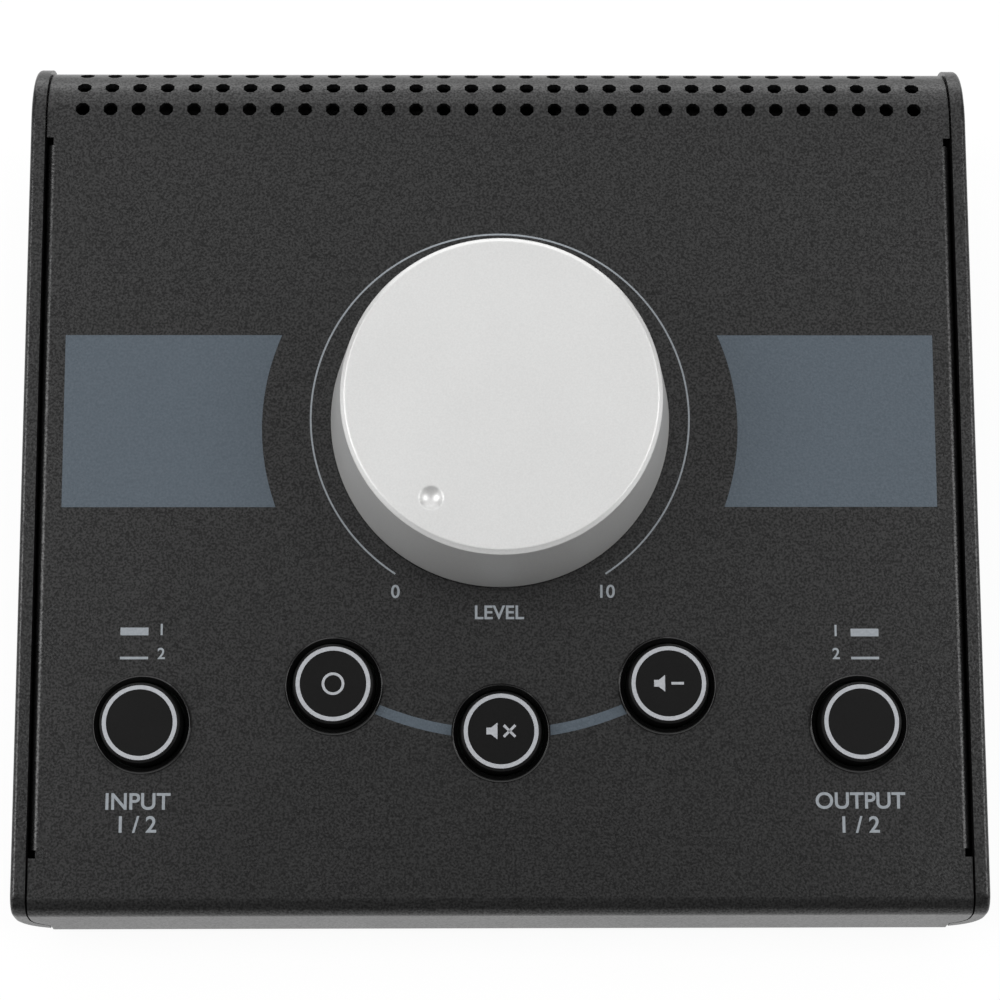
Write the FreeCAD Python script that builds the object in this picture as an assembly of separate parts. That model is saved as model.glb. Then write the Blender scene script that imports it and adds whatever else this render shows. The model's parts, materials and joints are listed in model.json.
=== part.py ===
"""Desktop studio monitor controller: a folded sheet case with a sloping panel, one large turned
volume knob, five round push buttons in bezels, and a row of jacks at the back.

Millimetres and degrees. X points right, Y to the back, Z up; the origin lies on the table under the
middle of the case. Panel coordinates are used for everything on the sloping panel: u along X,
s up the slope from the sharp front corner, h outwards from the panel's outer face.
"""
import FreeCAD, Part
import math
import os
from FreeCAD import Placement, Rotation, Vector

# Case
case_width = 186.0
case_depth = 170.0
front_height = 14.66         # underside of the base to the sharp corner of front and panel
panel_slope = 10.0
base_sheet = 2.9
base_bend_radius = 9.0       # outside, between the bottom and a cheek
cheek_edge_radius = 0.9
cheek_reveal = 0.8           # how far the cheeks stand proud of the panel and of the rear
foot_height = 4.0
seam = 0.3                   # between two folded sheets that meet

# Cover
cover_sheet = 1.2
fold_inner_radius = 0.4
nose_radius = 3.4
rear_bend_radius = 13.0
front_return_depth = 11.0
front_wall_from_side = 6.0   # where the base is notched for the cover's front wall
front_wall_corner_radius = 2.0
rear_lip_depth = 6.0
side_slot_width = 0.1        # between a cheek's seam line and the cover's side flange
side_slot_front = 10.4       # from the sharp front corner to the slot
side_slot_rear = 3.7         # from the slot to the start of the rear bend
side_flange_depth = 8.0
relief_length = 1.6          # notch at each end of a side flange
relief_width = 1.35

# Vents, in rows along the rear bend
vent_radius = 1.4
vent_pitch = 5.525
vent_rows = 3
vent_first_angle = 10.0      # from the start of the bend
vent_sides = 8
vent_end_margin = 5.5        # least distance from a vent's axis to the cover's end

# Volume knob and its pot
dial_from_rear = 76.6        # from the knob's axis to the sharp rear corner
knob_base_radius = 33.0
knob_top_radius = 30.25
knob_height = 24.7
knob_gap = 0.8               # under the knob, above the panel
knob_rim_bevel = 0.8
knob_top_wall = 4.0          # above the hub's bore
knob_pocket_radius = 24.0
knob_pocket_top = 12.0
dimple_orbit = 23.7
dimple_angle = 33.7          # from straight down towards the left, at the low stop
dimple_radius = 2.25
dimple_sphere_radius = 3.0
hub_radius = 8.0
hub_bottom = 6.5             # of the hub, pot and knob heights are above the panel
shaft_radius = 3.0
shaft_top = 18.0
shaft_flat_length = 10.0
shaft_flat_offset = 1.5      # from the axis to the flat
shaft_bottom_wall = 1.5
pot_width = 17.0
pot_body_height = 9.5
bushing_radius = 3.5
bushing_top = 5.0
pot_nut_width = 10.0
pot_nut_height = 2.0

# Push buttons
button_circle_radius = 61.1  # mono, mute and dim, about the knob's axis
button_spread = 31.6
select_from_side = 24.3      # from the case's side to the outer buttons
select_below_dial = 59.4
bezel_radius = 9.5
bezel_height = 0.85
bezel_edge = 0.35
bezel_sleeve_wall = 0.5
bezel_sleeve_length = 2.5    # below the panel's outer face
cap_radius = 8.05
cap_top_radius = 7.65
cap_height = 4.3
cap_skirt_bottom = 1.6       # below the panel's outer face
cap_edge = 0.3
cap_roof = 1.5
button_travel = 3.0
switch_width = 8.5
switch_height = 5.8
plunger_width = 3.8
plunger_engaged = 1.5        # length of plunger inside the switch at rest

# Boards and wiring
board_sheet = 1.6
control_board_side_gap = 13.0     # from the case's side
control_board_front_reach = 70.8  # from the knob's axis
control_board_rear_reach = 23.2
standoff_u = 50.0
standoff_inset = 5.5         # from the board's front and rear edges
standoff_width = 5.5
header_length = 24.0
header_width = 6.0
header_height = 6.0
ribbon_width = 20.0
ribbon_thickness = 0.9
ribbon_bend_radius = 4.0
jack_board_front_strip = 7.0  # of board ahead of the jacks' bodies
jack_board_side_gap = 3.0

# Rear panel and jacks
rear_sheet = 1.2
rear_flange_depth = 11.0
jack_below_lip = 7.2         # from the cover's rear lip to the jacks' axes
jack_side_gap = 17.5         # from the case's side to the last jack's axis
jack_middle_pitches = 1.08   # from the middle to the first jack's axis, in pitches
jacks_per_side = 4
jack_bore_radius = 3.25
jack_bore_length = 24.0
jack_bush_radius = 4.5
jack_bush_length = 2.3       # outside the rear panel
jack_body_width = 15.8
jack_body_height = 12.5
jack_body_length = 26.0
jack_nut_width = 12.0
jack_nut_height = 2.0
mini_bore_radius = 1.85
mini_bore_length = 12.0
mini_bush_radius = 2.9
mini_body_width = 8.0
mini_body_above_axis = 3.5
mini_body_length = 13.0
mini_nut_width = 8.0

# Screws and feet
screw_radius = 1.5
screw_head_radius = 2.8
screw_head_height = 1.4
screw_from_side = 31.0
screw_inset = 6.0            # from the sheet's face to a screw in its return flange
foot_radius = 8.0
foot_taper = 1.0
foot_inset_x = 22.0
foot_inset_y = 22.0

# Clearances
hole_clearance = 0.1         # round a screw, sleeve or bush in sheet
running_clearance = 0.05     # round the turning shaft
slip_clearance = 0.03        # pieces that are pushed together
button_clearance = 0.3       # round a cap in its bezel
plunger_clearance = 0.3      # round a plunger in its switch
overcut = 1.0                # how far outside a surface its cutter starts

# Derived places
half_width = case_width / 2
half_depth = case_depth / 2
floor_z = foot_height + base_sheet
nest_half_width = half_width - base_sheet - seam
nest_bottom_z = floor_z + seam
nest_corner_radius = base_bend_radius - base_sheet - seam
notch_half_width = half_width - front_wall_from_side
flange_z = foot_height - seam - cover_sheet
fold_outer_radius = fold_inner_radius + cover_sheet
front_y = -half_depth
rear_y = half_depth - cheek_reveal
corner_z = foot_height + front_height
slope = math.radians(panel_slope)
rear_corner_s = (rear_y - front_y) / math.cos(slope)
rear_corner_z = corner_z + rear_corner_s * math.sin(slope)
rear_turn = math.radians(90.0 + panel_slope)
rear_bend_s = rear_corner_s - rear_bend_radius * math.tan(rear_turn / 2)
rear_bend_end_z = rear_corner_z - rear_bend_radius * math.tan(rear_turn / 2)
flange_u = nest_half_width - side_slot_width
fold_u = flange_u - fold_outer_radius
slot_start = side_slot_front
slot_end = rear_bend_s - side_slot_rear
flange_start = slot_start + relief_length
flange_end = slot_end - relief_length
dial_s = rear_corner_s - dial_from_rear
select_u = half_width - select_from_side
screw_x = half_width - screw_from_side
board_top_h = -cover_sheet - pot_body_height
board_front_s = dial_s - control_board_front_reach
board_rear_s = dial_s + control_board_rear_reach
rear_panel_y = rear_y - cover_sheet - seam
rear_panel_inner_y = rear_panel_y - rear_sheet
jack_axis_z = rear_bend_end_z - rear_lip_depth - jack_below_lip
jack_pitch = (half_width - jack_side_gap) / (jack_middle_pitches + jacks_per_side - 1)
jack_board_top_z = jack_axis_z - jack_body_height / 2
sleeve_bore_radius = cap_radius + button_clearance
sleeve_radius = sleeve_bore_radius + bezel_sleeve_wall

PANEL = Placement(Vector(0, front_y, corner_z), Rotation(Vector(1, 0, 0), panel_slope))
UP = Vector(0, 0, 1)
BACK = Vector(0, 1, 0)
FORWARD = Vector(0, -1, 0)


def on_panel(shape):
    """Move a shape from panel coordinates to the case's frame."""
    placed = shape.copy()
    placed.Placement = PANEL.multiply(placed.Placement)
    return placed


def box(x_range, y_range, z_range):
    """Box from its three ranges."""
    size = [high - low for low, high in (x_range, y_range, z_range)]
    return Part.makeBox(*size, Vector(x_range[0], y_range[0], z_range[0]))


def centred(middle, width):
    """Range of the given width about its middle."""
    return (middle - width / 2, middle + width / 2)


def cylinder(radius, start, length, direction=UP):
    return Part.makeCylinder(radius, length, start, direction)


def hexagon(width, start, length, direction=UP):
    """Hexagonal prism, measured across its flats."""
    return polygon_prism(6, width / math.sqrt(3), start, length, direction)


def polygon_prism(sides, corner_radius, start, length, direction=UP):
    turn = 2 * math.pi / sides
    points = []
    for side in range(sides + 1):
        angle = (side + 0.5) * turn
        points.append(Vector(corner_radius * math.cos(angle), corner_radius * math.sin(angle), 0))
    prism = Part.Face(Part.makePolygon(points)).extrude(UP * length)
    prism.Placement = Placement(start, Rotation(UP, direction))
    return prism


def turned(profile, centre):
    """Solid of revolution about a panel normal, from (radius, height) points."""
    points = [Vector(radius, 0, height) for radius, height in profile]
    face = Part.Face(Part.makePolygon(points + points[:1]))
    solid = face.revolve(Vector(0, 0, 0), UP, 360)
    solid.translate(centre)
    return solid


def rounded_path(corners, radii):
    """Edges of a path through the corners, each inner corner rounded by its own radius."""
    edges = []
    start = corners[0]
    for before, corner, after, radius in zip(corners, corners[1:], corners[2:], radii):
        arriving = (corner - before).normalize()
        leaving = (after - corner).normalize()
        turn = arriving.getAngle(leaving)
        reach = radius * math.tan(turn / 2)
        arc_start = corner - arriving * reach
        arc_end = corner + leaving * reach
        inwards = (leaving - arriving).normalize()
        middle = corner + inwards * radius * (1 / math.cos(turn / 2) - 1)
        edges += straight(start, arc_start)
        edges.append(Part.Arc(arc_start, middle, arc_end).toShape())
        start = arc_end
    return edges + straight(start, corners[-1])


def straight(start, end):
    """The line between two points, or nothing where they meet."""
    return [Part.makeLine(start, end)] if start.distanceToPoint(end) > 1e-6 else []


def folded_section(corners, radii, sheet, plane_normal):
    """Face of a folded sheet: the corners are those of its outer face, and the sheet lies on the
    right of the path as seen against the plane's normal."""
    directions = [(after - before).normalize() for before, after in zip(corners, corners[1:])]
    inward = [direction.cross(plane_normal).normalize() for direction in directions]
    inner = [corners[0] + inward[0] * sheet]
    for corner, first, second in zip(corners[1:-1], inward, inward[1:]):
        inner.append(corner + (first + second) * (sheet / (1 + first.dot(second))))
    inner.append(corners[-1] + inward[-1] * sheet)
    inner_radii = [radius - sheet for radius in radii]
    outline = rounded_path(corners, radii)
    outline.append(Part.makeLine(corners[-1], inner[-1]))
    outline += rounded_path(inner, inner_radii)
    outline.append(Part.makeLine(inner[0], corners[0]))
    return Part.Face(Part.Wire(Part.__sortEdges__(outline)))


def folded_sheet(yz_corners, radii, sheet, half_length):
    """Sheet folded along X, from the corners of its outer face in the YZ plane."""
    corners = [Vector(-half_length, y, z) for y, z in yz_corners]
    section = folded_section(corners, radii, sheet, Vector(1, 0, 0))
    return section.extrude(Vector(2 * half_length, 0, 0))


def screw(seat, direction, length):
    """Pan head screw: the head sits on the seat, the shank runs on along the direction."""
    head = cylinder(screw_head_radius, seat, screw_head_height, direction * -1)
    shank = cylinder(screw_radius, seat, length, direction)
    return head.fuse(shank).removeSplitter()


def screw_hole(seat, direction, length):
    return cylinder(screw_radius + hole_clearance, seat, length, direction)


def trough(half, low, corner_radius):
    """Room with rounded lower corners, open above, along the whole depth of the case."""
    high = rear_corner_z + seam
    corners = [
        Vector(-half, -half_depth, high),
        Vector(-half, -half_depth, low),
        Vector(half, -half_depth, low),
        Vector(half, -half_depth, high),
    ]
    outline = rounded_path(corners, [corner_radius] * 2)
    outline.append(Part.makeLine(corners[-1], corners[0]))
    return Part.Face(Part.Wire(outline)).extrude(BACK * case_depth)


def nest():
    """Room inside the base that the cover and the rear panel fill."""
    return trough(nest_half_width, nest_bottom_z, nest_corner_radius)


def front_notch():
    """Cutter that takes the base's bottom back behind the cover's front wall."""
    return box(
        (-notch_half_width, notch_half_width),
        (-half_depth - overcut, front_y + cover_sheet + seam),
        (foot_height - overcut, foot_height + base_bend_radius),
    )


def side_outline_prism():
    """Case's side outline, flush at the front and moved out by the reveal on top and behind."""
    lift = cheek_reveal / math.cos(slope)
    front_corner_z = corner_z + lift
    rear_top_z = rear_corner_z + cheek_reveal * math.tan(slope) + lift
    corners = [
        Vector(-half_width, -half_depth, foot_height),
        Vector(-half_width, -half_depth, front_corner_z),
        Vector(-half_width, half_depth, rear_top_z),
        Vector(-half_width, half_depth, foot_height),
    ]
    radii = [nose_radius + cheek_reveal, rear_bend_radius + cheek_reveal]
    outline = rounded_path(corners, radii)
    outline.append(Part.makeLine(corners[-1], corners[0]))
    return Part.Face(Part.Wire(outline)).extrude(Vector(case_width, 0, 0))


def bottom_screw_places():
    """Seats of the screws that hold the cover's flange under the base and the rear panel's in it."""
    front = [Vector(x, front_y + screw_inset, flange_z) for x in (-screw_x, screw_x)]
    rear = [Vector(x, rear_panel_y - screw_inset, foot_height) for x in (-screw_x, screw_x)]
    return front, rear


def rear_lip_screw_places():
    z = rear_bend_end_z - rear_lip_depth / 2
    return [Vector(x, rear_y, z) for x in (-screw_x, screw_x)]


def base_shell():
    """Bottom and both cheeks, one sheet folded to a U along Y."""
    top_z = rear_corner_z + rear_bend_radius
    corners = [
        Vector(half_width, -half_depth, top_z),
        Vector(half_width, -half_depth, foot_height),
        Vector(-half_width, -half_depth, foot_height),
        Vector(-half_width, -half_depth, top_z),
    ]
    section = folded_section(corners, [base_bend_radius] * 2, base_sheet, Vector(0, -1, 0))
    shell = section.extrude(BACK * case_depth).common(side_outline_prism())
    shell = shell.makeFillet(cheek_edge_radius, outer_rim(shell))
    front, rear = bottom_screw_places()
    cutters = [screw_hole(place, UP, floor_z - flange_z) for place in front]
    cutters += [screw_hole(place, UP, base_sheet) for place in rear]
    return shell.cut(cutters + [front_notch()])


def outer_rim(shell):
    """Edges where the base's outer skin meets its cut edge."""
    def on_skin(point):
        side = half_width - abs(point.x)
        bottom = point.z - foot_height
        if side < base_bend_radius and bottom < base_bend_radius:
            reach = math.hypot(base_bend_radius - side, base_bend_radius - bottom)
            return abs(reach - base_bend_radius) < 0.01
        return min(side, bottom) < 0.01
    rim = []
    for edge in shell.Edges:
        middle = edge.valueAt((edge.FirstParameter + edge.LastParameter) / 2)
        ends = [vertex.Point for vertex in edge.Vertexes]
        runs_along_y = len(ends) == 2 and abs(abs(ends[0].y - ends[1].y) - case_depth) < 0.01
        level = abs(ends[0].z - ends[-1].z) < 0.01
        if on_skin(middle) and not (runs_along_y and level):
            rim.append(edge)
    return rim


def vents():
    """Cutters for the vents, each square to the rear bend's surface."""
    area_factor = math.sqrt(2 * math.pi / (vent_sides * math.sin(2 * math.pi / vent_sides)))
    corner_radius = vent_radius * area_factor
    columns_each_side = int((nest_half_width - vent_end_margin) / vent_pitch)
    row_angle = vent_pitch / rear_bend_radius
    cutters = []
    for row in range(vent_rows):
        angle = math.radians(vent_first_angle) + row * row_angle
        outward = Vector(0, math.sin(angle), math.cos(angle))
        for column in range(-columns_each_side, columns_each_side + 1):
            centre = Vector(column * vent_pitch, rear_bend_s, -rear_bend_radius)
            start = centre + outward * (rear_bend_radius - 2 * cover_sheet)
            cutters.append(polygon_prism(vent_sides, corner_radius, start, 3 * cover_sheet, outward))
    return cutters


def side_flange():
    """Right side flange in panel coordinates, folded down from the panel."""
    corners = [
        Vector(fold_u, flange_start, 0),
        Vector(flange_u, flange_start, 0),
        Vector(flange_u, flange_start, -side_flange_depth),
    ]
    section = folded_section(corners, [fold_outer_radius], cover_sheet, Vector(0, -1, 0))
    return section.extrude(BACK * (flange_end - flange_start))


def button_places():
    """Panel coordinates of the five buttons' axes, by name."""
    spread = math.radians(button_spread)
    across = button_circle_radius * math.sin(spread)
    near = dial_s - button_circle_radius * math.cos(spread)
    return {
        "select_left": Vector(-select_u, dial_s - select_below_dial, 0),
        "mono": Vector(-across, near, 0),
        "mute": Vector(0, dial_s - button_circle_radius, 0),
        "dim": Vector(across, near, 0),
        "select_right": Vector(select_u, dial_s - select_below_dial, 0),
    }


def panel_hole(place, radius):
    """Cutter through the panel for a sleeve or bush of the given radius."""
    return cylinder(radius + hole_clearance, place - UP * 2 * cover_sheet, 3 * cover_sheet)


def side_slots():
    """Cutters that clear the cover's edges for the side flanges, with a notch at each end."""
    through = (-2 * cover_sheet, cover_sheet)
    edge = nest_half_width + seam
    slots = []
    for side in (-1, 1):
        fold = sorted((side * fold_u, side * edge))
        notch = sorted((side * (nest_half_width - relief_width), side * edge))
        slots.append(box(fold, (flange_start, flange_end), through))
        slots.append(box(notch, (slot_start, flange_start), through))
        slots.append(box(notch, (flange_end, slot_end), through))
    return slots


def top_cover():
    """Front lip, sloping panel and rear bend in one folded sheet, with slotted sides and vents."""
    corners = [
        (front_y + front_return_depth, flange_z),
        (front_y, flange_z),
        (front_y, corner_z),
        (rear_y, rear_corner_z),
        (rear_y, rear_bend_end_z - rear_lip_depth),
    ]
    radii = [fold_outer_radius, nose_radius, rear_bend_radius]
    front_wall = trough(notch_half_width - seam, flange_z, front_wall_corner_radius)
    room = nest().fuse(front_wall)
    cover = folded_sheet(corners, radii, cover_sheet, nest_half_width).common(room)
    cover = cover.cut([on_panel(slot) for slot in side_slots()])
    right = side_flange()
    left = right.mirror(Vector(0, 0, 0), Vector(1, 0, 0))
    cover = cover.fuse([on_panel(right), on_panel(left)]).removeSplitter()
    drilled = [panel_hole(place, sleeve_radius) for place in button_places().values()]
    drilled.append(panel_hole(Vector(0, dial_s, 0), bushing_radius))
    cutters = [on_panel(cutter) for cutter in drilled + vents()]
    front, _ = bottom_screw_places()
    cutters += [screw_hole(place, UP, cover_sheet) for place in front]
    for place in rear_lip_screw_places():
        cutters.append(screw_hole(place + BACK * overcut, FORWARD, overcut + 2 * cover_sheet))
    return cover.cut(cutters)


def rear_panel():
    """Upright panel for the jacks, recessed between the cheeks, with a flange on the floor."""
    top_z = rear_bend_end_z - seam
    corners = [
        (rear_panel_y, top_z),
        (rear_panel_y, nest_bottom_z),
        (rear_panel_y - rear_flange_depth, nest_bottom_z),
    ]
    panel = folded_sheet(corners, [fold_inner_radius + rear_sheet], rear_sheet, nest_half_width)
    panel = panel.common(nest())
    outside = Vector(0, rear_panel_y + overcut, jack_axis_z)
    depth = rear_sheet + 2 * overcut
    cutters = [cylinder(mini_bush_radius + hole_clearance, outside, depth, FORWARD)]
    for x in jack_places():
        start = outside + Vector(x, 0, 0)
        cutters.append(cylinder(jack_bush_radius + hole_clearance, start, depth, FORWARD))
    _, rear = bottom_screw_places()
    cutters += [screw_hole(place, UP, base_sheet + seam + 2 * rear_sheet) for place in rear]
    cutters += [screw_hole(place, FORWARD, 4 * rear_sheet) for place in rear_lip_screw_places()]
    return panel.cut(cutters)


def jack_places():
    right = [(jack_middle_pitches + index) * jack_pitch for index in range(jacks_per_side)]
    return [-x for x in reversed(right)] + right


def jack(x, width, below, above, length, bush_radius, bore_radius, bore_length):
    """Panel jack: a boxed body against the rear panel, a bush through it and a blind bore."""
    body = box(
        centred(x, width),
        (rear_panel_inner_y - length, rear_panel_inner_y),
        (jack_axis_z - below, jack_axis_z + above),
    )
    mouth_y = rear_panel_y + jack_bush_length
    seat = Vector(x, rear_panel_inner_y, jack_axis_z)
    bush = cylinder(bush_radius, seat, mouth_y - rear_panel_inner_y, BACK)
    bore = cylinder(bore_radius, Vector(x, mouth_y - bore_length, jack_axis_z), bore_length, BACK)
    return body.fuse(bush).cut(bore).removeSplitter()


def nut(width, height, bore_radius, start, direction):
    blank = hexagon(width, start, height, direction)
    return blank.cut(cylinder(bore_radius, start, height, direction))


def volume_knob():
    """Turned knob with a pocket below, a bore for the hub and a round dimple as its pointer."""
    top_z = knob_height
    roof_z = knob_height - knob_top_wall
    bore = hub_radius + slip_clearance
    profile = [
        (0, top_z),
        (0, roof_z),
        (bore, roof_z),
        (bore, knob_pocket_top),
        (knob_pocket_radius, knob_pocket_top),
        (knob_pocket_radius, knob_gap),
        (knob_base_radius, knob_gap),
        (knob_top_radius, top_z - knob_rim_bevel),
        (knob_top_radius - knob_rim_bevel, top_z),
    ]
    knob = turned(profile, Vector(0, 0, 0))
    turn = math.radians(dimple_angle)
    ball_z = top_z + math.sqrt(dimple_sphere_radius**2 - dimple_radius**2)
    ball = Part.makeSphere(dimple_sphere_radius)
    ball.translate(Vector(-dimple_orbit * math.sin(turn), -dimple_orbit * math.cos(turn), ball_z))
    knob = knob.cut(ball)
    knob.translate(Vector(0, dial_s, 0))
    return on_panel(knob)


def shaft_end(radius, flat_offset, bottom, top):
    """D-section about the knob's axis, from one height to another."""
    full = cylinder(radius, Vector(0, dial_s, bottom), top - bottom)
    beyond = (dial_s + flat_offset, dial_s + 2 * radius)
    return full.cut(box((-2 * radius, 2 * radius), beyond, (bottom, top)))


def pot_shaft():
    bottom = board_top_h + shaft_bottom_wall
    flat_start = shaft_top - shaft_flat_length
    lower = cylinder(shaft_radius, Vector(0, dial_s, bottom), flat_start - bottom)
    upper = shaft_end(shaft_radius, shaft_flat_offset, flat_start, shaft_top)
    return on_panel(lower.fuse(upper).removeSplitter())


def knob_hub():
    """Collar pushed into the knob's boss, with a D-shaped socket for the shaft."""
    roof_z = knob_height - knob_top_wall
    start = Vector(0, dial_s, hub_bottom)
    blank = cylinder(hub_radius, start, roof_z - hub_bottom)
    flat_start = shaft_top - shaft_flat_length
    bore_radius = shaft_radius + slip_clearance
    round_bore = cylinder(bore_radius, start, flat_start - hub_bottom)
    socket = shaft_end(bore_radius, shaft_flat_offset + slip_clearance, flat_start, shaft_top + seam)
    return on_panel(blank.cut([round_bore, socket]))


def volume_pot():
    body = box(centred(0, pot_width), centred(dial_s, pot_width), (board_top_h, -cover_sheet))
    bushing = cylinder(bushing_radius, Vector(0, dial_s, -cover_sheet), bushing_top + cover_sheet)
    bottom = board_top_h + shaft_bottom_wall - seam
    bore = cylinder(shaft_radius + running_clearance, Vector(0, dial_s, bottom), bushing_top - bottom)
    return on_panel(body.fuse(bushing).cut(bore).removeSplitter())


def pot_nut():
    seat = Vector(0, dial_s, 0)
    return on_panel(nut(pot_nut_width, pot_nut_height, bushing_radius + slip_clearance, seat, UP))


def bezel(place):
    """Dished ring on the panel, with a sleeve through it that guides the cap."""
    profile = [
        (sleeve_bore_radius, -bezel_sleeve_length),
        (sleeve_bore_radius, 0),
        (bezel_radius - bezel_edge, bezel_height),
        (bezel_radius, bezel_height - bezel_edge),
        (bezel_radius, 0),
        (sleeve_radius, 0),
        (sleeve_radius, -bezel_sleeve_length),
    ]
    return on_panel(turned(profile, place))


def button_cap(place):
    """Cap with a bevelled top edge and a square socket for the plunger."""
    profile = [
        (0, cap_height),
        (cap_top_radius - cap_edge, cap_height),
        (cap_top_radius, cap_height - cap_edge),
        (cap_radius, -cap_skirt_bottom),
        (0, -cap_skirt_bottom),
    ]
    cap = turned(profile, place)
    side = plunger_width + 2 * slip_clearance
    socket = box(centred(place.x, side), centred(place.y, side), (-cap_skirt_bottom, cap_height - cap_roof))
    return on_panel(cap.cut(socket))


def switch_plunger(place):
    side = plunger_width
    bottom = board_top_h + switch_height - plunger_engaged
    return on_panel(box(centred(place.x, side), centred(place.y, side), (bottom, cap_height - cap_roof)))


def switch_body(place):
    """Latching push switch on the board, with a well that the plunger sinks into."""
    top = board_top_h + switch_height
    block = box(centred(place.x, switch_width), centred(place.y, switch_width), (board_top_h, top))
    side = plunger_width + 2 * plunger_clearance
    well_bottom = top - plunger_engaged - button_travel - seam
    well = box(centred(place.x, side), centred(place.y, side), (well_bottom, top))
    return on_panel(block.cut(well))


def standoff_places():
    rows = (board_front_s + standoff_inset, board_rear_s - standoff_inset)
    return [Vector(u, s, 0) for s in rows for u in (-standoff_u, standoff_u)]


def control_board():
    """Board that carries the pot and the switches, parallel to the panel."""
    half = half_width - control_board_side_gap
    board = box((-half, half), (board_front_s, board_rear_s), (board_top_h - board_sheet, board_top_h))
    return on_panel(board)


def control_board_standoffs():
    """Hexagonal spacers that hang the board from the panel."""
    length = -cover_sheet - board_top_h
    seats = [place + UP * board_top_h for place in standoff_places()]
    return [on_panel(hexagon(standoff_width, seat, length)) for seat in seats]


def header_jack_y():
    """Middle of the header, on the strip of board ahead of the jacks."""
    return rear_panel_inner_y - jack_body_length - jack_board_front_strip / 2


def jack_board():
    """Board under the jacks, which carry it."""
    front = rear_panel_inner_y - jack_body_length - jack_board_front_strip
    half = nest_half_width - cover_sheet - side_slot_width - jack_board_side_gap
    return box(
        (-half, half),
        (front, rear_panel_inner_y - seam),
        (jack_board_top_z - board_sheet, jack_board_top_z),
    )


def header_jack():
    z_range = (jack_board_top_z, jack_board_top_z + header_height)
    return box(centred(0, header_length), centred(header_jack_y(), header_width), z_range)


def header_control():
    rear_s = board_rear_s - seam
    top_h = board_top_h + header_height
    return on_panel(box(centred(0, header_length), (rear_s - header_width, rear_s), (board_top_h, top_h)))


def ribbon_cable():
    """Flat cable from the back of the control board's header down into the jack board's header."""
    start = PANEL.multVec(Vector(0, board_rear_s - seam, board_top_h + header_height / 2))
    end_y = header_jack_y() + ribbon_thickness / 2
    turn_z = start.z + (end_y - start.y) * math.tan(slope)
    corners = [
        (start.y, start.z),
        (end_y, turn_z),
        (end_y, jack_board_top_z + header_height),
    ]
    return folded_sheet(corners, [ribbon_bend_radius], ribbon_thickness, ribbon_width / 2)


def feet():
    """Rubber feet, one in each corner of the base."""
    solids = []
    for x in (-1, 1):
        for y in (-1, 1):
            place = Vector(x * (half_width - foot_inset_x), y * (half_depth - foot_inset_y), 0)
            solids.append(Part.makeCone(foot_radius - foot_taper, foot_radius, foot_height, place, UP))
    return solids


def all_parts():
    """Every piece of the controller, by node name; a list is a group of separate solids."""
    parts = {
        "base_shell": base_shell(),
        "top_cover": top_cover(),
        "rear_panel": rear_panel(),
        "volume_knob": volume_knob(),
        "knob_hub": knob_hub(),
        "pot_shaft": pot_shaft(),
        "volume_pot": volume_pot(),
        "pot_nut": pot_nut(),
        "control_board": control_board(),
        "control_board_standoffs": control_board_standoffs(),
        "jack_board": jack_board(),
        "header_jack": header_jack(),
        "header_control": header_control(),
        "ribbon_cable": ribbon_cable(),
    }
    for name, place in button_places().items():
        parts["bezel_" + name] = bezel(place)
        parts["button_" + name] = button_cap(place)
        parts["plunger_" + name] = switch_plunger(place)
        parts["switch_" + name] = switch_body(place)
    nuts = []
    nut_start = Vector(0, rear_panel_y, jack_axis_z)
    for number, x in enumerate(jack_places(), 1):
        half_height = jack_body_height / 2
        parts["jack_%d" % number] = jack(
            x, jack_body_width, half_height, half_height, jack_body_length,
            jack_bush_radius, jack_bore_radius, jack_bore_length,
        )
        start = nut_start + Vector(x, 0, 0)
        nuts.append(nut(jack_nut_width, jack_nut_height, jack_bush_radius + slip_clearance, start, BACK))
    parts["mini_jack"] = jack(
        0, mini_body_width, jack_body_height / 2, mini_body_above_axis, mini_body_length,
        mini_bush_radius, mini_bore_radius, mini_bore_length,
    )
    nuts.append(nut(mini_nut_width, jack_nut_height, mini_bush_radius + slip_clearance, nut_start, BACK))
    parts["jack_nuts"] = nuts
    front, rear = bottom_screw_places()
    front_length = 2 * cover_sheet + seam + base_sheet
    rear_length = base_sheet + seam + 2 * rear_sheet
    parts["cover_front_screws"] = [screw(place, UP, front_length) for place in front]
    parts["rear_panel_screws"] = [screw(place, UP, rear_length) for place in rear]
    lip_screw_length = cover_sheet + seam + 2 * rear_sheet
    lip_places = rear_lip_screw_places()
    parts["cover_rear_screws"] = [screw(place, FORWARD, lip_screw_length) for place in lip_places]
    parts["feet"] = feet()
    return parts


def main():
    os.makedirs("parts", exist_ok=True)
    for name, shape in all_parts().items():
        if isinstance(shape, list):
            shape = Part.makeCompound(shape)
        shape.exportStep(os.path.join("parts", name + ".step"))


main()
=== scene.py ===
"""Looks of the desktop studio monitor controller: materials, printed marks, light and camera.

Everything is in metres, in the CAD model's frame, unless a name or comment says millimetres. On
the sloping panel, u runs along X, v up the slope from the volume knob's axis, and heights go
outwards from the panel's face.
"""
import json
import math
import bpy
from mathutils import Matrix, Vector


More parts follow.
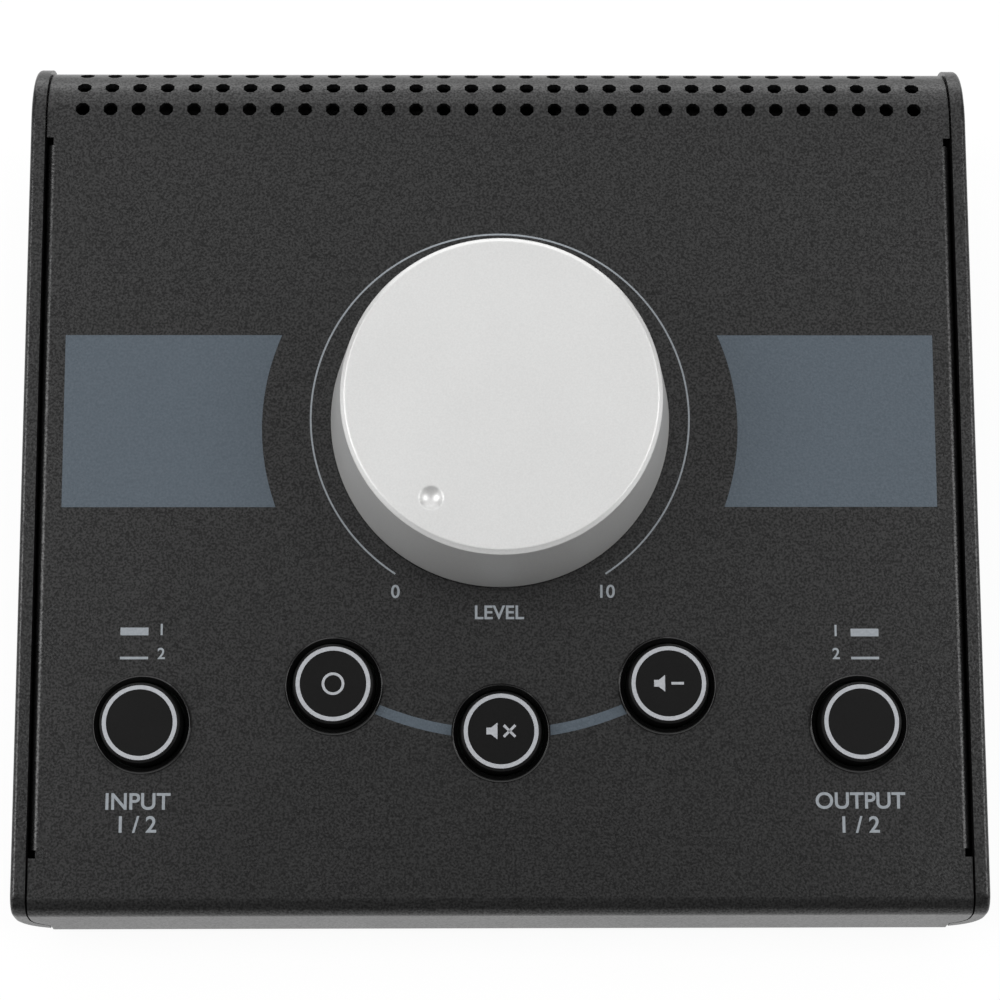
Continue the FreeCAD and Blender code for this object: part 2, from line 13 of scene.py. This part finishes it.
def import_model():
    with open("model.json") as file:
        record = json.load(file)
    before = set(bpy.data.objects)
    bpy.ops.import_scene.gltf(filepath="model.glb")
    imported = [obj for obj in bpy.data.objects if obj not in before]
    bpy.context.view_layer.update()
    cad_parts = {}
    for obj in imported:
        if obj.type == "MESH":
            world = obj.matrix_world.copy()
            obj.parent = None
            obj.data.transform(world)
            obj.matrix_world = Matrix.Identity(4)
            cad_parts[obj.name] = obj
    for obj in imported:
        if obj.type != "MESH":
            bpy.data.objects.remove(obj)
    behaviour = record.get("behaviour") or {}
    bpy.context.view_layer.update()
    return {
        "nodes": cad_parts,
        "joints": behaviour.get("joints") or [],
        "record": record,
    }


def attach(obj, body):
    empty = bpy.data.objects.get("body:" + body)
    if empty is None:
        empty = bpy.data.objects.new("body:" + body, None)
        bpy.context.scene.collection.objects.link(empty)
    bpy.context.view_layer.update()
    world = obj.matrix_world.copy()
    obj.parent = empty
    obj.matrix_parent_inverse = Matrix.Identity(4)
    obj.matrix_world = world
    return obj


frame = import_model()

MM = 0.001

# Panel: origin on its face at the knob's axis, from the knob's joint
DIAL = next(joint for joint in frame["joints"] if joint["name"] == "volume_turn")
NORMAL = -Vector(DIAL["axis"]).normalized()
ACROSS = Vector((1, 0, 0))
UPSLOPE = NORMAL.cross(ACROSS)
PANEL_TURN = Matrix((ACROSS, UPSLOPE, NORMAL)).transposed().to_4x4()
PANEL = Matrix.Translation(Vector(DIAL["pos_m"])) @ PANEL_TURN

# Camera, fitted to the circles and edges in the photograph
LENS = 100.364               # millimetres
SENSOR = 36.0                # millimetres
CAMERA_TILT = 10.004         # degrees towards the front from the panel's normal
CAMERA_YAW = 0.0131          # radians, the camera moved to the left
CAMERA_ROLL = 0.0004         # radians
CAMERA_DISTANCE = 542.02 * MM
AIM_V = -15.763 * MM         # panel point in the middle of the picture
SHIFT_X = -0.00022
VIEW_END = 10

# Stage and light; each lamp faces the frame's origin
FLOOR_REACH = 3.0
FLOOR_GREY = 0.9
FLOOR_ROUGHNESS = 0.8
FLOOR_SPECULAR = 0.2
FLOOR_WHITE_SHARE = 0.92     # how far the camera and glosses see the floor as plain white
WORLD_STRENGTH = 0.32
LAMPS = {
    "ceiling": {"place": (0, 0.38, 1.2), "size": (1.3, 1.3), "watts": 2.75},
    "ceiling_rear": {"place": (0, 0.45, 1.2), "size": (1.3, 0.5), "watts": 0.7},
    "left": {"place": (-0.67, -0.1, 0.85), "size": (0.6, 0.52), "watts": 5.3},
    "right": {"place": (0.67, -0.1, 0.85), "size": (0.6, 0.52), "watts": 4.3},
    "left_low": {"place": (-0.8, -0.15, 0.2), "size": (1.0, 0.38), "watts": 1.3},
    "right_low": {"place": (0.8, -0.15, 0.2), "size": (1.0, 0.38), "watts": 1.15},
    "rear": {"place": (0, 0.8, 0.55), "size": (1.5, 0.5), "watts": 3.0},
    "rear_low": {"place": (0, 0.95, 0.17), "size": (1.5, 0.32), "watts": 3.6},
}

# Finishes
BEVEL_SAMPLES = 8
PATCH_PER_GRAIN = 40         # size of the patches of uneven gloss, in grains
PATCH_DETAIL = 3.0

# Buttons, millimetres, with the (u, v) of each axis
BUTTON_CIRCLE = 61.1
BUTTON_SPREAD = math.radians(31.6)
SPREAD_U = BUTTON_CIRCLE * math.sin(BUTTON_SPREAD)
SPREAD_V = -BUTTON_CIRCLE * math.cos(BUTTON_SPREAD)
SELECT_U = 68.7
SELECT_V = -59.4
BUTTONS = {
    "select_left": (-SELECT_U, SELECT_V),
    "mono": (-SPREAD_U, SPREAD_V),
    "mute": (0.0, -BUTTON_CIRCLE),
    "dim": (SPREAD_U, SPREAD_V),
    "select_right": (SELECT_U, SELECT_V),
}
CAP_HEIGHT = 4.3
BEZEL_RADIUS = 9.5

# Printed marks, millimetres
INK_HEIGHT = 0.03
LETTER_WEIGHT = 0.016        # outline offset, in the font's own units
ARC_STEP = 2.0               # degrees

DIAL_ARC_RADIUS = 36.96
DIAL_ARC_V = 0.58
DIAL_ARC_LINE = 0.34
DIAL_ARC_GAP = 33.4          # degrees each side of straight down
DIAL_LOW_DIGIT_U = -20.3
DIAL_HIGH_DIGIT_U = 20.7
DIAL_DIGIT_V = -33.7
DIAL_DIGIT_HEIGHT = 2.6
DIAL_WORD_U = -0.2
DIAL_WORD_V = -37.8
DIAL_WORD_HEIGHT = 2.7

FIELD_OUTER_U = 85.1
FIELD_LOW_V = -17.15
FIELD_HIGH_V = 17.1
FIELD_ARC_RADIUS = 46.45
FIELD_ARC_V = -1.2
FIELD_STEPS = 24

BAND_WIDTH = 2.0
BAND_RADIUS = 61.3
BAND_TUCK = 0.98             # share of the bezel's radius at which a band ends, under the bezel

LEGEND_BAR_WIDTH = 5.4
LEGEND_THICK_BAR = 1.5
LEGEND_THIN_BAR = 0.5
LEGEND_DIGIT_HEIGHT = 2.2
LEGEND_WORD_HEIGHT = 3.2
LEGEND_LEFT = {
    "bar_u": -70.47, "thick_v": -41.43, "thin_v": -46.57,
    "digit_u": -65.25, "one_v": -41.05, "two_v": -45.70,
    "word": "INPUT", "word_u": -69.15, "word_v": -74.05, "pair_v": -78.4,
}
LEGEND_RIGHT = {
    "bar_u": 70.29, "thick_v": -41.78, "thin_v": -46.73,
    "digit_u": 64.7, "one_v": -41.38, "two_v": -45.85,
    "word": "OUTPUT", "word_u": 68.7, "word_v": -74.1, "pair_v": -78.67,
}

# Signs on the caps, millimetres from the cap's middle
RING_RADIUS = 6.73
RING_LINE = 0.78
SIGN_LINE = 0.5
MONO_SIGN_RADIUS = 1.9
SPEAKER_BACK_U = -2.8
SPEAKER_NECK_U = -1.9
SPEAKER_MOUTH_U = -0.7
SPEAKER_NECK_HALF = 0.65
SPEAKER_MOUTH_HALF = 1.6
STROKE_START_U = 0.5
MUTE_CROSS_END_U = 2.7
MUTE_CROSS_HALF = 1.1
DIM_STROKE_END_U = 2.9


# ---------------------------------------------------------------- materials

def new_material(name):
    material = bpy.data.materials.new(name)
    material.use_nodes = True
    tree = material.node_tree
    return material, tree, tree.nodes["Principled BSDF"]


def noise(tree, size_mm, detail=2.0):
    """Noise in the object's own coordinates, with features of about the given size."""
    coordinates = tree.nodes.new("ShaderNodeTexCoord")
    texture = tree.nodes.new("ShaderNodeTexNoise")
    texture.inputs["Scale"].default_value = 1 / (size_mm * MM)
    texture.inputs["Detail"].default_value = detail
    tree.links.new(coordinates.outputs["Object"], texture.inputs["Vector"])
    return texture.outputs["Fac"]


def shade(value):
    """Colour with alpha, from a grey or from red, green and blue."""
    if isinstance(value, (int, float)):
        return (value, value, value, 1)
    return (*value, 1)


def ramp(tree, source, low, high, start=0.3, end=0.7):
    """Colours or greys spread over part of the source's range."""
    node = tree.nodes.new("ShaderNodeValToRGB")
    first, last = node.color_ramp.elements
    first.position = start
    last.position = end
    first.color = shade(low)
    last.color = shade(high)
    tree.links.new(source, node.inputs["Fac"])
    return node.outputs["Color"]


def bump(tree, shader, source, depth_mm, edge_mm):
    """Grain of the given depth, on edges that look rounded to the given radius."""
    node = tree.nodes.new("ShaderNodeBump")
    node.inputs["Distance"].default_value = depth_mm * MM
    tree.links.new(source, node.inputs["Height"])
    tree.links.new(node.outputs["Normal"], shader.inputs["Normal"])
    if edge_mm:
        edge = tree.nodes.new("ShaderNodeBevel")
        edge.samples = BEVEL_SAMPLES
        edge.inputs["Radius"].default_value = edge_mm * MM
        tree.links.new(edge.outputs["Normal"], node.inputs["Normal"])


def surface(name, low, high, grain_mm, roughness, metallic=0.0, specular=0.5,
            grain_depth_mm=0.01, edge_mm=0):
    """Finish with a speckle of two shades, uneven gloss and a matching grain."""
    material, tree, shader = new_material(name)
    grain = noise(tree, grain_mm)
    tree.links.new(ramp(tree, grain, low, high), shader.inputs["Base Color"])
    patches = noise(tree, PATCH_PER_GRAIN * grain_mm, PATCH_DETAIL)
    tree.links.new(ramp(tree, patches, *roughness), shader.inputs["Roughness"])
    shader.inputs["Metallic"].default_value = metallic
    shader.inputs["Specular IOR Level"].default_value = specular
    bump(tree, shader, grain, grain_depth_mm, edge_mm)
    return material


def case_paint():
    """Dark powder coat with a fine orange-peel grain and small duller flecks."""
    material = surface("case_paint", low=(0.002, 0.002, 0.002), high=(0.010, 0.010, 0.0102),
                       grain_mm=0.4, roughness=(0.27, 0.30), grain_depth_mm=0.03)
    tree = material.node_tree
    flecks = ramp(tree, noise(tree, size_mm=0.42, detail=1.0), low=0.22, high=0.54,
                  start=0.38, end=0.62)
    tree.links.new(flecks, tree.nodes["Principled BSDF"].inputs["Specular IOR Level"])
    return material


MATERIALS = {
    "case_paint": case_paint(),
    # Bead-blasted, clear anodised
    "knob_aluminium": surface(
        "knob_metal", low=(0.57, 0.57, 0.566), high=(0.615, 0.615, 0.61), grain_mm=0.35,
        roughness=(0.38, 0.43), metallic=0.55, grain_depth_mm=0.004, edge_mm=0.5),
    "button_black": surface(
        "cap_plastic", low=(0.002, 0.002, 0.002), high=(0.004, 0.004, 0.004), grain_mm=0.3,
        roughness=(0.3, 0.36), specular=0.14, grain_depth_mm=0.003, edge_mm=0.2),
    "bezel_black": surface(
        "bezel_plastic", low=(0.004, 0.004, 0.004), high=(0.006, 0.006, 0.006), grain_mm=0.8,
        roughness=(0.08, 0.14), grain_depth_mm=0.001, edge_mm=0.25),
    "jack_plastic": surface(
        "jack_plastic", low=(0.012, 0.012, 0.012), high=(0.018, 0.018, 0.018), grain_mm=0.5,
        roughness=(0.4, 0.5)),
    "nut_nickel": surface(
        "nickel", low=(0.62, 0.60, 0.55), high=(0.70, 0.68, 0.63), grain_mm=1.2,
        roughness=(0.2, 0.32), metallic=1.0, grain_depth_mm=0.003),
    "screw_black": surface(
        "black_oxide", low=(0.012, 0.012, 0.013), high=(0.02, 0.02, 0.022), grain_mm=0.6,
        roughness=(0.3, 0.4), metallic=0.3),
    "foot_rubber": surface(
        "rubber", low=(0.010, 0.010, 0.010), high=(0.02, 0.02, 0.02), grain_mm=0.6,
        roughness=(0.7, 0.85), specular=0.3, grain_depth_mm=0.03),
    "board_green": surface(
        "board", low=(0.01, 0.06, 0.03), high=(0.014, 0.09, 0.04), grain_mm=2.0,
        roughness=(0.25, 0.35)),
    "part_steel": surface(
        "steel", low=(0.45, 0.45, 0.45), high=(0.55, 0.55, 0.55), grain_mm=1.0,
        roughness=(0.3, 0.4), metallic=1.0),
    "brass": surface(
        "brass", low=(0.55, 0.4, 0.16), high=(0.65, 0.48, 0.2), grain_mm=1.0,
        roughness=(0.25, 0.35), metallic=1.0),
    "ribbon_grey": surface(
        "ribbon", low=(0.28, 0.29, 0.3), high=(0.34, 0.35, 0.36), grain_mm=1.27,
        roughness=(0.45, 0.55)),
}
LIGHT_INK = surface(
    "light_ink", low=(0.21, 0.23, 0.25), high=(0.255, 0.275, 0.295), grain_mm=0.5,
    roughness=(0.45, 0.55), specular=0.3)
BLUE_INK = surface(
    "blue_ink", low=(0.051, 0.067, 0.084), high=(0.069, 0.088, 0.108), grain_mm=0.45,
    roughness=(0.4, 0.5), specular=0.3, grain_depth_mm=0.05)
RING_INK = surface(
    "ring_ink", low=(0.30, 0.31, 0.33), high=(0.36, 0.37, 0.39), grain_mm=0.5,
    roughness=(0.35, 0.45), specular=0.3)


def dress_nodes():
    """Give every CAD node the material of its slot in the record."""
    for entry in frame["record"]["subparts"]:
        mesh = frame["nodes"][entry["node"]].data
        mesh.materials.clear()
        mesh.materials.append(MATERIALS[entry["material_slot"]])


# ---------------------------------------------------------------- printed marks

def span(mesh, axis):
    """Least and greatest coordinate of a mesh along one axis."""
    places = [vertex.co[axis] for vertex in mesh.vertices]
    return min(places), max(places)


def letter_mesh(words):
    """Flat mesh of words in Blender's own font."""
    curve = bpy.data.curves.new("words", "FONT")
    curve.body = words
    curve.offset = LETTER_WEIGHT
    holder = bpy.data.objects.new("words", curve)
    bpy.context.scene.collection.objects.link(holder)
    mesh = bpy.data.meshes.new_from_object(holder)
    bpy.data.objects.remove(holder)
    bpy.data.curves.remove(curve)
    return mesh


class Print:
    """Flat marks in one ink, gathered as (u, v) points in millimetres and faces."""

    def __init__(self):
        self.points = []
        self.faces = []

    def add(self, points, faces):
        first = len(self.points)
        self.points += points
        self.faces += [[first + index for index in face] for face in faces]

    def polygon(self, points):
        self.add(points, [list(range(len(points)))])

    def bar(self, centre, width, height):
        """Upright rectangle round a centre."""
        u, v = centre
        low_u, high_u = u - width / 2, u + width / 2
        low_v, high_v = v - height / 2, v + height / 2
        self.polygon([(low_u, low_v), (high_u, low_v), (high_u, high_v), (low_u, high_v)])

    def arc(self, centre, radius, line, start, end):
        """Part of a ring, angles in degrees from +u towards +v."""
        u, v = centre
        steps = max(2, math.ceil(abs(end - start) / ARC_STEP))
        points = []
        for step in range(steps + 1):
            angle = math.radians(start + (end - start) * step / steps)
            for reach in (radius - line / 2, radius + line / 2):
                points.append((u + reach * math.cos(angle), v + reach * math.sin(angle)))
        faces = [[2 * i, 2 * i + 1, 2 * i + 3, 2 * i + 2] for i in range(steps)]
        self.add(points, faces)

    def stroke(self, start, end, line):
        """Straight line with square ends."""
        start, end = Vector(start), Vector(end)
        along = end - start
        side = Vector((-along.y, along.x)).normalized() * line / 2
        corners = [start - side, end - side, end + side, start + side]
        self.polygon([tuple(corner) for corner in corners])

    def text(self, words, centre, height):
        """Words of a given capital height, centred."""
        mesh = letter_mesh(words)
        low_x, high_x = span(mesh, 0)
        low_y, high_y = span(mesh, 1)
        scale = height / (high_y - low_y)
        points = []
        for vertex in mesh.vertices:
            u = centre[0] + (vertex.co.x - (low_x + high_x) / 2) * scale
            v = centre[1] + (vertex.co.y - (low_y + high_y) / 2) * scale
            points.append((u, v))
        self.add(points, [list(face.vertices) for face in mesh.polygons])
        bpy.data.meshes.remove(mesh)

    def lay(self, name, height_mm, material, body):
        """Make the gathered marks a thin film at a height over the panel, riding on the body."""
        top = height_mm + INK_HEIGHT
        corners = [PANEL @ (Vector((u, v, top)) * MM) for u, v in self.points]
        mesh = bpy.data.meshes.new(name)
        mesh.from_pydata(corners, [], self.faces)
        mesh.materials.append(material)
        film = bpy.data.objects.new(name, mesh)
        bpy.context.scene.collection.objects.link(film)
        solidify = film.modifiers.new("film", "SOLIDIFY")
        solidify.thickness = INK_HEIGHT * MM
        solidify.offset = -1
        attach(film, body)


def dial_marks(marks):
    """Thin arc round the knob, open at the front, with its two digits and its word."""
    marks.arc((0, DIAL_ARC_V), DIAL_ARC_RADIUS, DIAL_ARC_LINE, DIAL_ARC_GAP - 90, 270 - DIAL_ARC_GAP)
    marks.text("0", (DIAL_LOW_DIGIT_U, DIAL_DIGIT_V), DIAL_DIGIT_HEIGHT)
    marks.text("10", (DIAL_HIGH_DIGIT_U, DIAL_DIGIT_V), DIAL_DIGIT_HEIGHT)
    marks.text("LEVEL", (DIAL_WORD_U, DIAL_WORD_V), DIAL_WORD_HEIGHT)


def legend(marks, place):
    """A thick and a thin bar with their digits above a select button, and two lines below it."""
    marks.bar((place["bar_u"], place["thick_v"]), LEGEND_BAR_WIDTH, LEGEND_THICK_BAR)
    marks.bar((place["bar_u"], place["thin_v"]), LEGEND_BAR_WIDTH, LEGEND_THIN_BAR)
    marks.text("1", (place["digit_u"], place["one_v"]), LEGEND_DIGIT_HEIGHT)
    marks.text("2", (place["digit_u"], place["two_v"]), LEGEND_DIGIT_HEIGHT)
    marks.text(place["word"], (place["word_u"], place["word_v"]), LEGEND_WORD_HEIGHT)
    marks.text("1 / 2", (place["word_u"], place["pair_v"]), LEGEND_WORD_HEIGHT)


def colour_field(side):
    """Outline of one blue-grey field, straight outside and hollowed round the knob inside."""
    low = math.asin((FIELD_LOW_V - FIELD_ARC_V) / FIELD_ARC_RADIUS)
    high = math.asin((FIELD_HIGH_V - FIELD_ARC_V) / FIELD_ARC_RADIUS)
    points = []
    for step in range(FIELD_STEPS + 1):
        angle = low + (high - low) * step / FIELD_STEPS
        u = side * FIELD_ARC_RADIUS * math.cos(angle)
        points.append((u, FIELD_ARC_V + FIELD_ARC_RADIUS * math.sin(angle)))
    points += [(side * FIELD_OUTER_U, FIELD_HIGH_V), (side * FIELD_OUTER_U, FIELD_LOW_V)]
    return points if side < 0 else points[::-1]


def band(marks, side):
    """Band between the middle button's bezel and the next one's."""
    tuck = math.degrees(BEZEL_RADIUS / BUTTON_CIRCLE) * BAND_TUCK
    reach = math.degrees(BUTTON_SPREAD) - tuck
    start, end = sorted((-90 + side * tuck, -90 + side * reach))
    marks.arc((0, 0), BAND_RADIUS, BAND_WIDTH, start, end)


def panel_prints():
    light = Print()
    dial_marks(light)
    legend(light, LEGEND_LEFT)
    legend(light, LEGEND_RIGHT)
    light.lay("panel_print_light", 0, LIGHT_INK, "case")
    blue = Print()
    for side in (-1, 1):
        blue.polygon(colour_field(side))
        band(blue, side)
    blue.lay("panel_print_blue", 0, BLUE_INK, "case")


def speaker(marks, centre):
    """Small loudspeaker sign, facing right."""
    u, v = centre
    back, neck, mouth = u + SPEAKER_BACK_U, u + SPEAKER_NECK_U, u + SPEAKER_MOUTH_U
    marks.polygon([
        (back, v - SPEAKER_NECK_HALF), (neck, v - SPEAKER_NECK_HALF), (mouth, v - SPEAKER_MOUTH_HALF),
        (mouth, v + SPEAKER_MOUTH_HALF), (neck, v + SPEAKER_NECK_HALF), (back, v + SPEAKER_NECK_HALF),
    ])


def cap_sign(marks, name, centre):
    """Plain signs on three caps: a circle, a speaker with a cross and a speaker with a minus."""
    u, v = centre
    start = u + STROKE_START_U
    if name == "mono":
        marks.arc(centre, MONO_SIGN_RADIUS, SIGN_LINE, 0, 360)
    if name in ("mute", "dim"):
        speaker(marks, centre)
    if name == "mute":
        for rise in (MUTE_CROSS_HALF, -MUTE_CROSS_HALF):
            marks.stroke((start, v - rise), (u + MUTE_CROSS_END_U, v + rise), SIGN_LINE)
    if name == "dim":
        marks.stroke((start, v), (u + DIM_STROKE_END_U, v), SIGN_LINE)


def button_prints():
    for name, centre in BUTTONS.items():
        marks = Print()
        marks.arc(centre, RING_RADIUS, RING_LINE, 0, 360)
        cap_sign(marks, name, centre)
        marks.lay("print_" + name, CAP_HEIGHT, RING_INK, name + "_push")


# ---------------------------------------------------------------- light and camera

def white_for_camera(tree, shader_socket, output_socket, share):
    """Blend a shader towards plain white where the camera or a gloss looks at it."""
    path = tree.nodes.new("ShaderNodeLightPath")
    glow = tree.nodes.new("ShaderNodeEmission")
    blend = tree.nodes.new("ShaderNodeMixShader")
    either = tree.nodes.new("ShaderNodeMath")
    either.operation = "MAXIMUM"
    scale = tree.nodes.new("ShaderNodeMath")
    scale.operation = "MULTIPLY"
    scale.inputs[1].default_value = share
    tree.links.new(path.outputs["Is Camera Ray"], either.inputs[0])
    tree.links.new(path.outputs["Is Glossy Ray"], either.inputs[1])
    tree.links.new(either.outputs[0], scale.inputs[0])
    tree.links.new(scale.outputs[0], blend.inputs[0])
    tree.links.new(shader_socket, blend.inputs[1])
    tree.links.new(glow.outputs[0], blend.inputs[2])
    tree.links.new(blend.outputs[0], output_socket)


def floor_finish():
    """Pale matt floor that the camera sees as nearly plain white."""
    material, tree, shader = new_material("floor")
    shader.inputs["Base Color"].default_value = shade(FLOOR_GREY)
    shader.inputs["Roughness"].default_value = FLOOR_ROUGHNESS
    shader.inputs["Specular IOR Level"].default_value = FLOOR_SPECULAR
    output = tree.nodes["Material Output"]
    white_for_camera(tree, shader.outputs[0], output.inputs["Surface"], FLOOR_WHITE_SHARE)
    return material


def floor():
    corners = [(-1, -1), (1, -1), (1, 1), (-1, 1)]
    mesh = bpy.data.meshes.new("floor")
    mesh.from_pydata([(x * FLOOR_REACH, y * FLOOR_REACH, 0) for x, y in corners], [], [[0, 1, 2, 3]])
    mesh.materials.append(floor_finish())
    plane = bpy.data.objects.new("floor", mesh)
    bpy.context.scene.collection.objects.link(plane)


def world():
    """Even white light from all round."""
    setting = bpy.data.worlds.new("studio")
    setting.use_nodes = True
    bpy.context.scene.world = setting
    background = setting.node_tree.nodes["Background"]
    background.inputs["Color"].default_value = (1, 1, 1, 1)
    background.inputs["Strength"].default_value = WORLD_STRENGTH


def softbox(name, place, size, watts):
    """Rectangular lamp at a place, turned to the frame's origin."""
    light = bpy.data.lights.new(name, "AREA")
    light.shape = "RECTANGLE"
    light.size, light.size_y = size
    light.energy = watts
    lamp = bpy.data.objects.new(name, light)
    lamp.location = place
    lamp.rotation_euler = (-Vector(place)).to_track_quat("-Z", "Y").to_euler()
    bpy.context.scene.collection.objects.link(lamp)


def camera():
    """Camera that looks down on the panel, as in the photograph."""
    data = bpy.data.cameras.new("camera")
    data.lens = LENS
    data.sensor_width = SENSOR
    data.shift_x = SHIFT_X
    data.clip_end = VIEW_END
    view = bpy.data.objects.new("camera", data)
    bpy.context.scene.collection.objects.link(view)
    tilt = math.radians(CAMERA_TILT)
    level = NORMAL * math.cos(tilt) - UPSLOPE * math.sin(tilt)
    up = level.cross(ACROSS)
    away = level * math.cos(CAMERA_YAW) - ACROSS * math.sin(CAMERA_YAW)
    right = up.cross(away)
    aim = PANEL @ Vector((0, AIM_V, 0))
    turn = Matrix((right, up, away)).transposed() @ Matrix.Rotation(-CAMERA_ROLL, 3, "Z")
    view.matrix_world = Matrix.Translation(aim + away * CAMERA_DISTANCE) @ turn.to_4x4()
    bpy.context.scene.camera = view


def main():
    dress_nodes()
    panel_prints()
    button_prints()
    floor()
    world()
    for name, lamp in LAMPS.items():
        softbox(name, **lamp)
    camera()
    bpy.context.scene.view_settings.view_transform = "Standard"


main()
